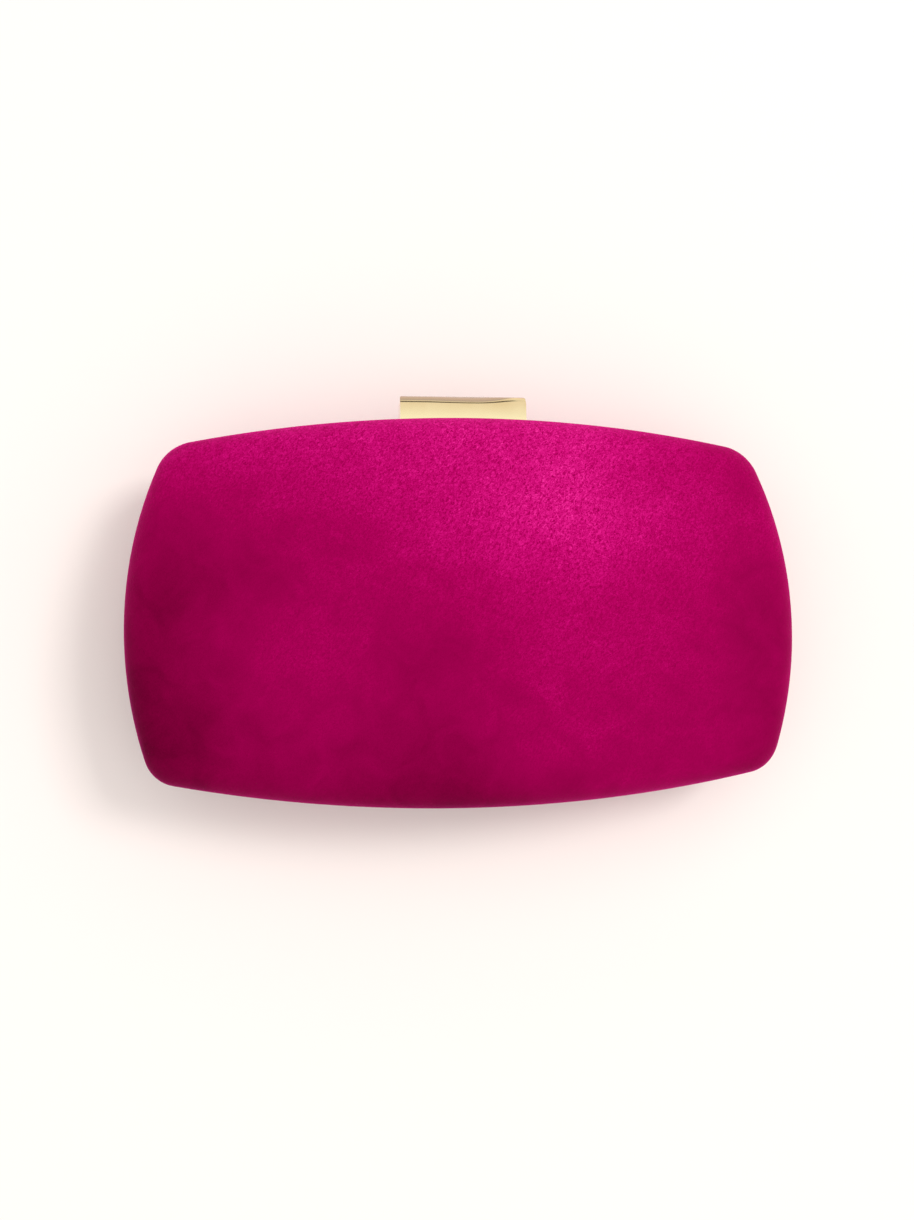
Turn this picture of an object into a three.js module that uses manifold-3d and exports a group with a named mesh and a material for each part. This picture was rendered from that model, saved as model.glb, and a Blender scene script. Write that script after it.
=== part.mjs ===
// A hard-shell clutch purse, lying on its back with the front face up.
// Millimetres. +X runs along the purse, +Y from the hinge to the clasp and +Z up, out of the front face.
// The origin is the centre of the flat on the back face, where the purse rests.
//
// Each half is a stack of nested skins: suede cover, foam padding, moulded shell and satin lining. A metal
// frame closes each half's edge. The frames are hinged at the bottom edge, and a rocking bar latches them.

import * as THREE from "three";
import { mergeVertices } from "three/addons/utils/BufferGeometryUtils.js";
import Module from "manifold-3d";

const wasm = await Module();
wasm.setup();

// ---- Driving dimensions ----

const WIDTH = 212; // over the suede, without the clasp
const HEIGHT = 122.8;
const SIDE_RADIUS = 137; // radius of the two ends
const SIDE_LEVEL = -3.7; // the purse is widest here, nearer to the hinge than to the clasp
const LONG_RADIUS = { clasp: 520, hinge: 485 }; // the two long edges
const CORNER_RADIUS = { clasp: 12.6, hinge: 10.8 };
const CORNER_GROWTH = 0.5; // how much a corner's radius grows for each millimetre further in

const DEPTH = 25.5; // from the seam to the top of a half's dome
const FLAT_CUT = 1.1; // the back dome is flattened by this much, to rest on
const FACE_RADIUS_X = 480; // curvature of the domed face along X and along Y
const FACE_RADIUS_Y = 230;
const EDGE_RADIUS = 11; // round-over from the side wall to the face
const SEAM_Z = DEPTH - FLAT_CUT;

const GAP = 0.3; // between pieces that touch
const HALF_GAP = GAP / 2; // from the seam plane to each frame
const FRAME_BAND = 1.7; // thickness of a frame's flange, which shows as a line round the purse
const RIM = HALF_GAP + FRAME_BAND + GAP; // from the seam to the edge of every skin

// Each skin lies between these two depths below the suede's outer surface.
const COVER = [0, 0.9];
const PADDING = [1.2, 2.1];
const SHELL = [2.4, 4.2];
const LINING = [5.8, 6.3];
const FLANGE = [0.8, 6.3]; // the frame's flange, inwards from the outline
const FRAME_LIP = { inset: [4.5, 5.5], depth: 4.0 }; // the lip that grips the shell from inside

const SIDE_STEPS = 3; // facets in a quarter of the outline
const CORNER_STEPS = 4;
const LONG_STEPS = 3;
const EDGE_STEPS = 3; // facets across the round-over
const FACE_RINGS = [0.66, 0.33]; // rings on the face, as shares of the ring at the round-over's end

const HINGE = {
  y: -HEIGHT / 2 + 2.2,
  barrel: 1.6, // knuckle radius
  bore: 0.9,
  pin: 0.6,
  half: 24, // half the length of the row of knuckles
  knuckles: 5,
  relief: 41, // the flanges are trimmed straight to this half length, so that they clear when opening
  headRadius: 1.1,
  headLength: 0.5,
};

const CLASP = {
  length: 41,
  deep: 11, // across the seam
  top: 9.5, // above the suede outline
  frontBottom: 0.4,
  rearBottom: 2.0, // the rear wall is short, so that the bar can rock back
  wall: 0.8,
  round: 4.2, // radius of the bar's top, seen along its length
  corner: 1.4, // radius of its top corners, seen from the front
  pivot: { up: 4.0, back: -2.3 }, // from the outline, and from the seam
  pin: 0.6,
  bore: 0.9,
  ear: 1.35,
  roof: [7.1, 7.9], // the lever's top plate
  rivet: 9.5, // a rivet on each side of the middle
};

// ---- Small geometry helpers ----

const QUARTER = Math.PI / 2;

function arc([cx, cy], radius, from, to, steps) {
  return Array.from({ length: steps }, (_, i) => {
    const a = from + ((to - from) * i) / steps;
    return [cx + radius * Math.cos(a), cy + radius * Math.sin(a)];
  });
}

// The point at distance ra from a and rb from b that is furthest out in the first quadrant.
function meetingPoint(a, ra, b, rb) {
  const span = Math.hypot(b[0] - a[0], b[1] - a[1]);
  const [ex, ey] = [(b[0] - a[0]) / span, (b[1] - a[1]) / span];
  const along = (ra * ra - rb * rb + span * span) / (2 * span);
  const off = Math.sqrt(ra * ra - along * along);
  const base = [a[0] + ex * along, a[1] + ey * along];
  const both = [
    [base[0] - ey * off, base[1] + ex * off],
    [base[0] + ey * off, base[1] - ex * off],
  ];
  return both[0][0] + both[0][1] > both[1][0] + both[1][1] ? both[0] : both[1];
}

// A quarter of the outline, from the purse's widest level round to the middle of a long edge: an end arc, a
// corner and half a long arc. Heights are measured away from the other long edge.
function quarterOutline(inset, edge) {
  const level = edge === "clasp" ? SIDE_LEVEL : -SIDE_LEVEL;
  const side = [WIDTH / 2 - SIDE_RADIUS, level];
  const long = [0, HEIGHT / 2 - LONG_RADIUS[edge]];
  const sideR = SIDE_RADIUS - inset;
  const longR = LONG_RADIUS[edge] - inset;
  const cornerR = CORNER_RADIUS[edge] + CORNER_GROWTH * inset;
  const corner = meetingPoint(side, sideR - cornerR, long, longR - cornerR);
  const toSide = Math.atan2(corner[1] - side[1], corner[0] - side[0]);
  const toLong = Math.atan2(corner[1] - long[1], corner[0] - long[0]);
  return [
    ...arc(side, sideR, 0, toSide, SIDE_STEPS),
    ...arc(corner, cornerR, toSide, toLong, CORNER_STEPS),
    ...arc(long, longR, toLong, QUARTER, LONG_STEPS),
    [0, HEIGHT / 2 - inset],
  ];
}

// The purse's whole outline, moved inwards, anticlockwise from +X.
function outline(inset) {
  const clasp = quarterOutline(inset, "clasp");
  const hinge = quarterOutline(inset, "hinge");
  return [
    ...clasp.slice(0, -1),
    ...clasp.slice(1).reverse().map(([x, y]) => [-x, y]),
    ...hinge.slice(0, -1).map(([x, y]) => [-x, -y]),
    ...hinge.slice(1).reverse().map(([x, y]) => [x, -y]),
  ];
}

// Where the outline's right-hand edge is at a height y.
function edgeX(inset, y) {
  const ring = outline(inset);
  const crossings = ring.flatMap(([x0, y0], i) => {
    const [x1, y1] = ring[(i + 1) % ring.length];
    const crosses = (y0 <= y && y1 > y) || (y1 <= y && y0 > y);
    return crosses ? [x0 + ((x1 - x0) * (y - y0)) / (y1 - y0)] : [];
  });
  return Math.max(...crossings);
}

// A BufferGeometry from points and triangles, with its faces turned to point out.
function geometryOf(points, triangles) {
  const volume = triangles.reduce((sum, [a, b, c]) => {
    const [p, q, r] = [points[a], points[b], points[c]];
    return (
      sum +
      p[0] * (q[1] * r[2] - q[2] * r[1]) +
      p[1] * (q[2] * r[0] - q[0] * r[2]) +
      p[2] * (q[0] * r[1] - q[1] * r[0])
    );
  }, 0);
  const facing = volume < 0 ? triangles.map(([a, b, c]) => [a, c, b]) : triangles;
  const geometry = new THREE.BufferGeometry();
  geometry.setAttribute("position", new THREE.Float32BufferAttribute(points.flat(), 3));
  geometry.setIndex(facing.flat());
  geometry.computeVertexNormals();
  return geometry;
}

// A solid skinned over rings of points. A ring of one point closes an end, and loop joins last to first.
// Each quad is split along its shorter diagonal, so that neighbouring skins are split alike.
function skinned(rings, loop = false) {
  const points = rings.flat();
  const starts = rings.map((_, i) => rings.slice(0, i).flat().length);
  const apart = (i, j) => Math.hypot(...points[i].map((v, k) => v - points[j][k]));
  const triangles = [];
  for (let i = 0; i < rings.length - (loop ? 0 : 1); i++) {
    const next = (i + 1) % rings.length;
    const size = Math.max(rings[i].length, rings[next].length);
    const at = (ring, j) => starts[ring] + (rings[ring].length === 1 ? 0 : j % size);
    for (let j = 0; j < size; j++) {
      const [a, b, c, d] = [at(i, j), at(i, j + 1), at(next, j + 1), at(next, j)];
      if (a === b) triangles.push([a, c, d]);
      else if (c === d) triangles.push([a, b, c]);
      else if (apart(a, c) <= apart(b, d)) triangles.push([a, b, c], [a, c, d]);
      else triangles.push([a, b, d], [b, c, d]);
    }
  }
  return geometryOf(points, triangles);
}

// A prism on a closed outline of [u, v] points. place() puts u, v and the depth on their axes.
function prism(shapePoints, from, to, place) {
  const rings = [from, to].map((depth) => shapePoints.map(([u, v]) => place(u, v, depth)));
  const shape = shapePoints.map(([u, v]) => new THREE.Vector2(u, v));
  const faces = THREE.ShapeUtils.triangulateShape(shape, []);
  const count = shapePoints.length;
  const triangles = [];
  for (const [a, b, c] of faces) triangles.push([a, c, b], [a + count, b + count, c + count]);
  for (let j = 0; j < count; j++) {
    const k = (j + 1) % count;
    triangles.push([j, k, k + count], [j, k + count, j + count]);
  }
  return geometryOf(rings.flat(), triangles);
}

function box([x0, x1], [y0, y1], [z0, z1]) {
  const size = [x1 - x0, y1 - y0, z1 - z0];
  return new THREE.BoxGeometry(...size).translate((x0 + x1) / 2, (y0 + y1) / 2, (z0 + z1) / 2);
}

function cylinderX(radius, [x0, x1], y, z, sides = 16) {
  return new THREE.CylinderGeometry(radius, radius, x1 - x0, sides)
    .rotateZ(QUARTER)
    .translate((x0 + x1) / 2, y, z);
}

// A turned pin along X with a head at each end.
function headedPinX(radius, half, headRadius, headLength, y, z) {
  const profile = [
    [0, -half - headLength],
    [headRadius, -half - headLength],
    [headRadius, -half],
    [radius, -half],
    [radius, half],
    [headRadius, half],
    [headRadius, half + headLength],
    [0, half + headLength],
  ].map(([r, h]) => new THREE.Vector2(r, h));
  return new THREE.LatheGeometry(profile, 12).rotateZ(-QUARTER).translate(0, y, z);
}

// ---- Booleans ----

function solidOf(geometry) {
  const bare = geometry.index ? geometry.toNonIndexed() : geometry.clone();
  for (const name of Object.keys(bare.attributes)) {
    if (name !== "position") bare.deleteAttribute(name);
  }
  const merged = mergeVertices(bare, 1e-4);
  return new wasm.Manifold(
    new wasm.Mesh({
      numProp: 3,
      vertProperties: merged.attributes.position.array,
      triVerts: new Uint32Array(merged.index.array),
    }),
  );
}

function fromSolid(solid) {
  const mesh = solid.getMesh();
  const points = Array.from({ length: mesh.numVert }, (_, i) =>
    Array.from(mesh.vertProperties.subarray(i * mesh.numProp, i * mesh.numProp + 3)),
  );
  const triangles = Array.from({ length: mesh.numTri }, (_, i) =>
    Array.from(mesh.triVerts.subarray(i * 3, i * 3 + 3)),
  );
  return geometryOf(points, triangles);
}

// The first geometry kept within those in keep, joined with those in add, less those in cut.
function carved(first, { keep = [], add = [], cut = [] }) {
  let solid = solidOf(first);
  for (const other of keep) solid = solid.intersect(solidOf(other));
  for (const other of add) solid = solid.add(solidOf(other));
  for (const other of cut) solid = solid.subtract(solidOf(other));
  return fromSolid(solid);
}

// ---- Materials ----

const finish = (color, roughness, metalness) =>
  new THREE.MeshStandardMaterial({ color, roughness, metalness });

const MATERIALS = {
  suede: finish(0xb0085c, 0.9, 0),
  foam: finish(0xe8e2d4, 0.95, 0),
  board: finish(0x26242a, 0.6, 0),
  satin: finish(0xc9a877, 0.45, 0),
  gold: finish(0xe2c27a, 0.2, 1),
  steel: finish(0xb9bcc0, 0.35, 1),
};

// ---- The two halves ----

// Height of the domed face above the seam, before a skin's own depth is taken off.
function dome([x, y], flatCut) {
  const height = DEPTH - (x * x) / (2 * FACE_RADIUS_X) - (y * y) / (2 * FACE_RADIUS_Y);
  return Math.min(height, DEPTH - flatCut);
}

// One surface of a skin at a depth below the suede's, as rings from its edge at the seam to its centre.
function bowlRings(depth, flatCut) {
  const edge = outline(EDGE_RADIUS);
  const wallTop = edge.map((p) => dome(p, flatCut) - EDGE_RADIUS);
  const reach = EDGE_RADIUS - depth;
  const rings = [outline(depth).map(([x, y]) => [x, y, RIM])];
  for (let i = 0; i <= EDGE_STEPS; i++) {
    const a = (QUARTER * i) / EDGE_STEPS;
    const ring = outline(EDGE_RADIUS - reach * Math.cos(a));
    rings.push(ring.map(([x, y], j) => [x, y, wallTop[j] + reach * Math.sin(a)]));
  }
  for (const share of FACE_RINGS) {
    const ring = edge.map(([x, y]) => [x * share, y * share]);
    rings.push(ring.map((p) => [...p, dome(p, flatCut) - depth]));
  }
  rings.push([[0, 0, dome([0, 0], flatCut) - depth]]);
  return rings;
}

// From heights above the seam to row heights, for the front (+1) or the back (-1).
const placed = (rings, side) => rings.map((ring) => ring.map(([x, y, h]) => [x, y, SEAM_Z + side * h]));

function skinBetween([outer, inner], side, flatCut) {
  const rings = [...bowlRings(outer, flatCut).reverse(), ...bowlRings(inner, flatCut)];
  return skinned(placed(rings, side));
}

// A frame is an L-section ring: a flange in the seam, and a lip inside the shell.
function frameRing(side) {
  const [lipOut, lipIn] = FRAME_LIP.inset;
  const flangeTop = HALF_GAP + FRAME_BAND;
  const section = [
    [FLANGE[0], HALF_GAP],
    [FLANGE[1], HALF_GAP],
    [FLANGE[1], flangeTop],
    [lipIn, flangeTop],
    [lipIn, FRAME_LIP.depth],
    [lipOut, FRAME_LIP.depth],
    [lipOut, flangeTop],
    [FLANGE[0], flangeTop],
  ];
  const rings = section.map(([inset, h]) => outline(inset).map(([x, y]) => [x, y, h]));
  return skinned(placed(rings, side), true);
}

// A frame with its share of the hinge knuckles, every second one from first.
function hingedFrame(side, first) {
  const { y, barrel, bore, half, knuckles, relief } = HINGE;
  const reach = (low, high) => [SEAM_Z + side * low, SEAM_Z + side * high].sort((a, b) => a - b);
  const length = (2 * half - (knuckles - 1) * GAP) / knuckles;
  const add = [];
  for (let i = first; i < knuckles; i += 2) {
    const x0 = -half + i * (length + GAP);
    const span = [x0, x0 + length];
    add.push(cylinderX(barrel, span, y, SEAM_Z));
    add.push(box(span, [y, y + 2.6], reach(GAP, barrel)));
  }
  const bodyClear = HINGE.headLength + GAP;
  const trimmed = carved(frameRing(side), {
    cut: [
      box([-relief, relief], [-HEIGHT, y + HALF_GAP], [0, 2 * SEAM_Z]),
      cylinderX(barrel + GAP, [-half - bodyClear, half + bodyClear], y, SEAM_Z),
    ],
  });
  const pinHole = cylinderX(bore, [-half - 1, half + 1], y, SEAM_Z);
  return carved(trimmed, { add, cut: [pinHole] });
}

// A flat pocket of satin that follows the back lining, open towards the clasp.
function slipPocket() {
  const [halfX, y0, y1] = [50, -38, 14];
  const [columns, rows] = [8, 4];
  const depths = [LINING[1] + GAP, LINING[1] + GAP + 0.5];
  const sheet = depths.map((depth) =>
    Array.from({ length: (columns + 1) * (rows + 1) }, (_, i) => {
      const x = -halfX + (2 * halfX * (i % (columns + 1))) / columns;
      const y = y0 + ((y1 - y0) * Math.floor(i / (columns + 1))) / rows;
      return [x, y, SEAM_Z - facetedDome([x, y]) + depth];
    }),
  );
  const count = sheet[0].length;
  const triangles = [];
  for (let r = 0; r < rows; r++) {
    for (let c = 0; c < columns; c++) {
      const a = r * (columns + 1) + c;
      const [b, d] = [a + 1, a + columns + 1];
      const e = d + 1;
      triangles.push([a, b, e], [a, e, d]);
      triangles.push([a + count, e + count, b + count], [a + count, d + count, e + count]);
    }
  }
  const border = [];
  for (let c = 0; c < columns; c++) border.push(c);
  for (let r = 0; r < rows; r++) border.push(r * (columns + 1) + columns);
  for (let c = columns; c > 0; c--) border.push(rows * (columns + 1) + c);
  for (let r = rows; r > 0; r--) border.push(r * (columns + 1));
  border.forEach((a, i) => {
    const b = border[(i + 1) % border.length];
    triangles.push([a, a + count, b + count], [a, b + count, b]);
  });
  return geometryOf(sheet.flat(), triangles);
}

// Height of the back's faceted face, which dips below the smooth dome between its rings.
function facetedDome([x, y]) {
  const ringDip = 0.7;
  return dome([x, y], FLAT_CUT) - ringDip;
}

// A folded gusset beside the end wall, between the halves: a wedge that is deepest at its free edge.
function gusset(side) {
  const wall = 7.4; // inset of its outer face from the outline
  const [y0, y1, steps] = [-40, 16, 5];
  const [thin, thick] = [2, 8.5];
  const halfStack = 4.6;
  const rings = Array.from({ length: steps + 1 }, (_, i) => {
    const y = y0 + ((y1 - y0) * i) / steps;
    const outer = edgeX(wall, y);
    const inner = outer - thin - ((thick - thin) * i) / steps;
    return [
      [side * outer, y, SEAM_Z - halfStack],
      [side * outer, y, SEAM_Z + halfStack],
      [side * inner, y, SEAM_Z + halfStack],
      [side * inner, y, SEAM_Z - halfStack],
    ];
  });
  const middle = (ring) => [0, 1, 2].map((k) => (ring[0][k] + ring[2][k]) / 2);
  return skinned([[middle(rings[0])], ...rings, [middle(rings[steps])]]);
}

// The folded strip that hides the hinge from inside, from one end gusset round to the other.
function hingeGusset() {
  const [wall, fold, halfStack] = [7.4, 2.4, 3.4];
  const end = -41; // it stops just short of the end gussets
  const [outer, inner] = [outline(wall), outline(wall + fold)];
  const places = outer.map((_, i) => i).filter((i) => outer[i][1] < end);
  const rings = places.map((i) => [
    [...outer[i], SEAM_Z - halfStack],
    [...outer[i], SEAM_Z + halfStack],
    [...inner[i], SEAM_Z + halfStack],
    [...inner[i], SEAM_Z - halfStack],
  ]);
  const middle = (ring) => [0, 1, 2].map((k) => (ring[0][k] + ring[2][k]) / 2);
  return skinned([[middle(rings[0])], ...rings, [middle(rings[rings.length - 1])]]);
}

// A flat eyelet on the back frame's inner edge, for a chain.
function chainLoop(side) {
  const y = 26;
  const [wide, hole] = [3.2, 1.6];
  const root = side * (edgeX(FLANGE[1], y + wide) - GAP);
  const tip = root - side * wide;
  const z = [SEAM_Z - HALF_GAP - 1.4, SEAM_Z - HALF_GAP - 0.2];
  const round = (radius) =>
    new THREE.CylinderGeometry(radius, radius, z[1] - z[0] + (radius < wide ? 2 : 0), 16)
      .rotateX(QUARTER)
      .translate(tip, y, (z[0] + z[1]) / 2);
  const arm = box([Math.min(root, tip), Math.max(root, tip)], [y - wide, y + wide], z);
  return carved(arm, { add: [round(wide)], cut: [round(hole)] });
}

// ---- The clasp: heights are above the outline's top, and places across the purse are from the seam ----

const up = (u) => HEIGHT / 2 + u;
const across = (w) => SEAM_Z + w;
const claspBox = (x, u, w) => box(x, u.map(up), w.map(across));
const PIVOT = { y: up(CLASP.pivot.up), z: across(CLASP.pivot.back) };
const FOOT = GAP - FLANGE[0]; // where the base and the keeper stand on the frames' flanges

// A plate on edge around the pivot: a disc over a foot or under a roof.
function ear([x0, x1], footTo) {
  const { up: u, back: w } = CLASP.pivot;
  const disc = cylinderX(CLASP.ear, [x0, x1], PIVOT.y, PIVOT.z);
  const foot = claspBox([x0, x1], [Math.min(u, footTo), Math.max(u, footTo)], [w - CLASP.ear, w + CLASP.ear]);
  return [disc, foot];
}

// A block with two rounded top corners: the bar or its hollow, seen along its length or from the front.
function roundTopped(half, bottom, top, round) {
  const corner = [...arc([half - round, top - round], round, 0, QUARTER, 4), [half - round, top]];
  const mirrored = corner.map(([v, u]) => [-v, u]).reverse();
  return [[half, bottom], ...corner, ...mirrored, [-half, bottom]];
}

// The bar is a hollow cap over the seam.
function claspBar() {
  const { length, deep, top, frontBottom, rearBottom, wall, round, corner } = CLASP;
  const [halfX, halfW] = [length / 2, deep / 2];
  const [insideX, insideW] = [halfX - wall, halfW - wall];
  const below = frontBottom - 1;
  const alongX = (section, reach) => prism(section, -reach, reach, (w, u, x) => [x, up(u), across(w)]);
  const alongZ = (section, reach) => prism(section, -reach, reach, (x, u, w) => [x, up(u), across(w)]);
  return carved(alongX(roundTopped(halfW, frontBottom, top, round), halfX), {
    keep: [alongZ(roundTopped(halfX, below, top, corner), deep)],
    cut: [
      alongX(roundTopped(insideW, below, top - wall, round - wall), insideX),
      claspBox([-length, length], [below, rearBottom], [-deep, -insideW + 1.2]),
    ],
  });
}

// The steel lever inside the bar: a roof plate, two ears on the pivot pin and the hook in front.
function claspLever() {
  const [earX, earThick] = [13.2, 1.2];
  const { roof, rivet, bore } = CLASP;
  const add = [-1, 1].flatMap((side) => {
    const x = [side * earX, side * (earX + earThick)].sort((a, b) => a - b);
    return ear(x, roof[0] + 0.2);
  });
  add.push(claspBox([-6, 6], [0.5, roof[1]], [2.15, 3.0]));
  const pinHole = cylinderX(bore, [-20, 20], PIVOT.y, PIVOT.z);
  const rivetHoles = [-rivet, rivet].map((x) => rivetY(1.2, x, [roof[0] - 1, roof[1] + 1]));
  return carved(claspBox([-14.4, 14.4], roof, [-3.0, 3.0]), { add, cut: [pinHole, ...rivetHoles] });
}

function rivetY(radius, x, [u0, u1]) {
  return new THREE.CylinderGeometry(radius, radius, u1 - u0, 12).translate(x, up((u0 + u1) / 2), SEAM_Z);
}

// A rivet that holds the lever under the bar's roof, with its head below the lever.
function leverRivet(x) {
  const low = CLASP.roof[0];
  const shank = rivetY(0.9, x, [low - 0.9, CLASP.top - CLASP.wall - GAP]);
  return carved(shank, { add: [rivetY(1.6, x, [low - 0.9, low - GAP])] });
}

// The base on the back frame: a plate over the suede's edge, a foot on the flange, and two ears for the pin.
function claspBase() {
  const [earX, earThick] = [15.2, 1.2];
  const add = [-1, 1].flatMap((side) => {
    const x = [side * earX, side * (earX + earThick)].sort((a, b) => a - b);
    return ear(x, 1.0);
  });
  add.push(claspBox([-14, 14], [FOOT, 0.6], [-RIM + GAP, -GAP]));
  const pinHole = cylinderX(CLASP.bore, [-20, 20], PIVOT.y, PIVOT.z);
  return carved(claspBox([-16.8, 16.8], [0.4, 1.2], [-4.0, -GAP]), { add, cut: [pinHole] });
}

// The keeper on the front frame: a tab that the hook holds. Its sloping top lifts the hook on closing.
function claspKeeper() {
  const section = [
    [GAP, FOOT],
    [RIM - GAP, FOOT],
    [RIM - GAP, 1.4],
    [GAP + 0.6, 1.4],
    [GAP, 0.8],
  ];
  return prism(section, -7, 7, (w, u, x) => [x, up(u), across(w)]);
}

// A torsion spring on the pivot pin, with one leg on the base and one under the lever's roof.
function claspSpring() {
  const [wire, coil, turns, pitch, stepsPerTurn] = [0.22, 1.15, 4, 0.75, 8];
  const at = (x, a, r = coil) => new THREE.Vector3(x, PIVOT.y + r * Math.sin(a), PIVOT.z + r * Math.cos(a));
  const half = (turns * pitch) / 2;
  const points = [new THREE.Vector3(-half, PIVOT.y - 1.5, PIVOT.z + coil)];
  for (let i = 0; i <= turns * stepsPerTurn; i++) {
    const share = i / (turns * stepsPerTurn);
    points.push(at(-half + 2 * half * share, share * turns * 2 * Math.PI));
  }
  points.push(new THREE.Vector3(half, PIVOT.y + 1.5, PIVOT.z + coil));
  const circle = new THREE.Shape().absarc(0, 0, wire, 0, 2 * Math.PI);
  return new THREE.ExtrudeGeometry(circle, {
    steps: points.length - 1,
    curveSegments: 3,
    extrudePath: new THREE.CatmullRomCurve3(points),
  });
}

// ---- Assembly ----

const purse = new THREE.Group();

function part(name, material, geometry) {
  const mesh = new THREE.Mesh(geometry, MATERIALS[material]);
  mesh.name = name;
  purse.add(mesh);
}

const HALVES = [
  { name: "back", side: -1, flatCut: FLAT_CUT, firstKnuckle: 0 },
  { name: "front", side: 1, flatCut: 0, firstKnuckle: 1 },
];

for (const { name, side, flatCut, firstKnuckle } of HALVES) {
  part(`${name}_cover`, "suede", skinBetween(COVER, side, flatCut));
  part(`${name}_padding`, "foam", skinBetween(PADDING, side, flatCut));
  part(`${name}_shell`, "board", skinBetween(SHELL, side, flatCut));
  part(`${name}_lining`, "satin", skinBetween(LINING, side, flatCut));
  part(`${name}_frame`, "gold", hingedFrame(side, firstKnuckle));
}
part("slip_pocket", "satin", slipPocket());
part("hinge_gusset", "satin", hingeGusset());

const { y: hingeY, pin, half, headRadius, headLength } = HINGE;
part("hinge_pin", "steel", headedPinX(pin, half + HALF_GAP, headRadius, headLength, hingeY, SEAM_Z));

for (const [name, side] of [["left", -1], ["right", 1]]) {
  part(`gusset_${name}`, "satin", gusset(side));
  part(`chain_loop_${name}`, "gold", chainLoop(side));
  part(`lever_rivet_${name}`, "steel", leverRivet(side * CLASP.rivet));
}

part("clasp_bar", "gold", claspBar());
part("clasp_lever", "steel", claspLever());
part("clasp_base", "gold", claspBase());
part("clasp_pin", "steel", headedPinX(CLASP.pin, 16.7, 1.0, 0.4, PIVOT.y, PIVOT.z));
part("clasp_spring", "steel", claspSpring());
part("clasp_keeper", "gold", claspKeeper());

export default purse;
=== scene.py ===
"""A suede-covered hard clutch purse with a polished bar clasp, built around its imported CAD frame."""

import math

import bmesh
import bpy
import numpy as np
from mathutils import Matrix, Vector, noise


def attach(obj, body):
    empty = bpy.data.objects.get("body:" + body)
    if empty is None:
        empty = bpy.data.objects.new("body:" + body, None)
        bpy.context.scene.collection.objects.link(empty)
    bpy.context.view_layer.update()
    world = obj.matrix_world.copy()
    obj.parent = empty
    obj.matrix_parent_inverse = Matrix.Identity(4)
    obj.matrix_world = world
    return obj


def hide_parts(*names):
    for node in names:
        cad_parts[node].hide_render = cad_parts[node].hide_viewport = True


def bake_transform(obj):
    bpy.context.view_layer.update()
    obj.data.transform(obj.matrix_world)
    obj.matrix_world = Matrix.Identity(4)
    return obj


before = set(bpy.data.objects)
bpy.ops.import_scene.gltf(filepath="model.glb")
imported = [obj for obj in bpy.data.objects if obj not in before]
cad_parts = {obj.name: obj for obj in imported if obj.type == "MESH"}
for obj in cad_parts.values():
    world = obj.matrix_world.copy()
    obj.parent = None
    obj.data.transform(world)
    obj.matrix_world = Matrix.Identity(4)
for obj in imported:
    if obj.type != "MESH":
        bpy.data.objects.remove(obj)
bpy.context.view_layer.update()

MM = 0.001

# ---- Sizes, as in the CAD source, in millimetres ----

WIDTH, HEIGHT = 212.0, 122.8
SIDE_RADIUS, SIDE_LEVEL = 137.0, -3.7
LONG_RADIUS = {"clasp": 520.0, "hinge": 485.0}
CORNER_RADIUS = {"clasp": 12.6, "hinge": 10.8}
CORNER_GROWTH = 0.5
DEPTH, FLAT_CUT = 25.5, 1.1
FACE_RADIUS_X, FACE_RADIUS_Y = 480.0, 230.0
EDGE_RADIUS = 11.0
SEAM = DEPTH - FLAT_CUT
HALF_GAP, FRAME_BAND, GAP = 0.15, 1.7, 0.3
RIM = HALF_GAP + FRAME_BAND + GAP
COVER, PADDING, SHELL, LINING = (0, 0.9), (1.2, 2.1), (2.4, 4.2), (5.8, 6.3)
FLANGE, LIP, LIP_DEPTH = (0.8, 6.3), (4.5, 5.5), 4.0
HINGE_Y = -HEIGHT / 2 + 2.2
HINGE_BARREL, HINGE_BORE, HINGE_HALF, HINGE_KNUCKLES = 1.6, 0.9, 24.0, 5
HINGE_RELIEF, HINGE_ARM = 41.0, 2.6
CLASP_LENGTH, CLASP_DEEP, CLASP_TOP, CLASP_ROUND = 41.0, 11.0, 9.5, 4.2
CLASP_FRONT, CLASP_REAR, CLASP_REAR_SLOT, CLASP_WALL, CLASP_CORNER = 0.4, 2.0, 1.2, 0.8, 1.4
TOP = HEIGHT / 2

# How many points the outline has in an end arc, a corner and half a long edge.
SIDE_STEPS, CORNER_STEPS, LONG_STEPS = 12, 12, 20

# How many rows of faces a skin has up its wall, round its edge, over its face and round its rim.
WALL_ROWS, EDGE_ROWS, FACE_ROWS, RIM_ROWS = 4, 10, 16, 6


# ---- The purse's outline and dome ----

def arc(centre, radius, start, end, steps):
    angles = start + (end - start) * np.arange(steps) / steps
    return np.column_stack([centre[0] + radius * np.cos(angles), centre[1] + radius * np.sin(angles)])


def meeting_point(a, ra, b, rb):
    """The point at distance ra from a and rb from b that is furthest out in the first quadrant."""
    a, b = np.array(a, float), np.array(b, float)
    span = np.linalg.norm(b - a)
    along = (ra**2 - rb**2 + span**2) / (2 * span)
    unit = (b - a) / span
    off = math.sqrt(ra**2 - along**2) * np.array([-unit[1], unit[0]])
    return max(a + unit * along + off, a + unit * along - off, key=sum)


def quarter_outline(inset, edge):
    side = (WIDTH / 2 - SIDE_RADIUS, SIDE_LEVEL if edge == "clasp" else -SIDE_LEVEL)
    long = (0, HEIGHT / 2 - LONG_RADIUS[edge])
    side_r, long_r = SIDE_RADIUS - inset, LONG_RADIUS[edge] - inset
    corner_r = CORNER_RADIUS[edge] + CORNER_GROWTH * inset
    corner = meeting_point(side, side_r - corner_r, long, long_r - corner_r)
    to_side = math.atan2(corner[1] - side[1], corner[0] - side[0])
    to_long = math.atan2(corner[1] - long[1], corner[0] - long[0])
    return np.vstack([
        arc(side, side_r, 0, to_side, SIDE_STEPS),
        arc(corner, corner_r, to_side, to_long, CORNER_STEPS),
        arc(long, long_r, to_long, math.pi / 2, LONG_STEPS),
        [(0, HEIGHT / 2 - inset)],
    ])


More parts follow.
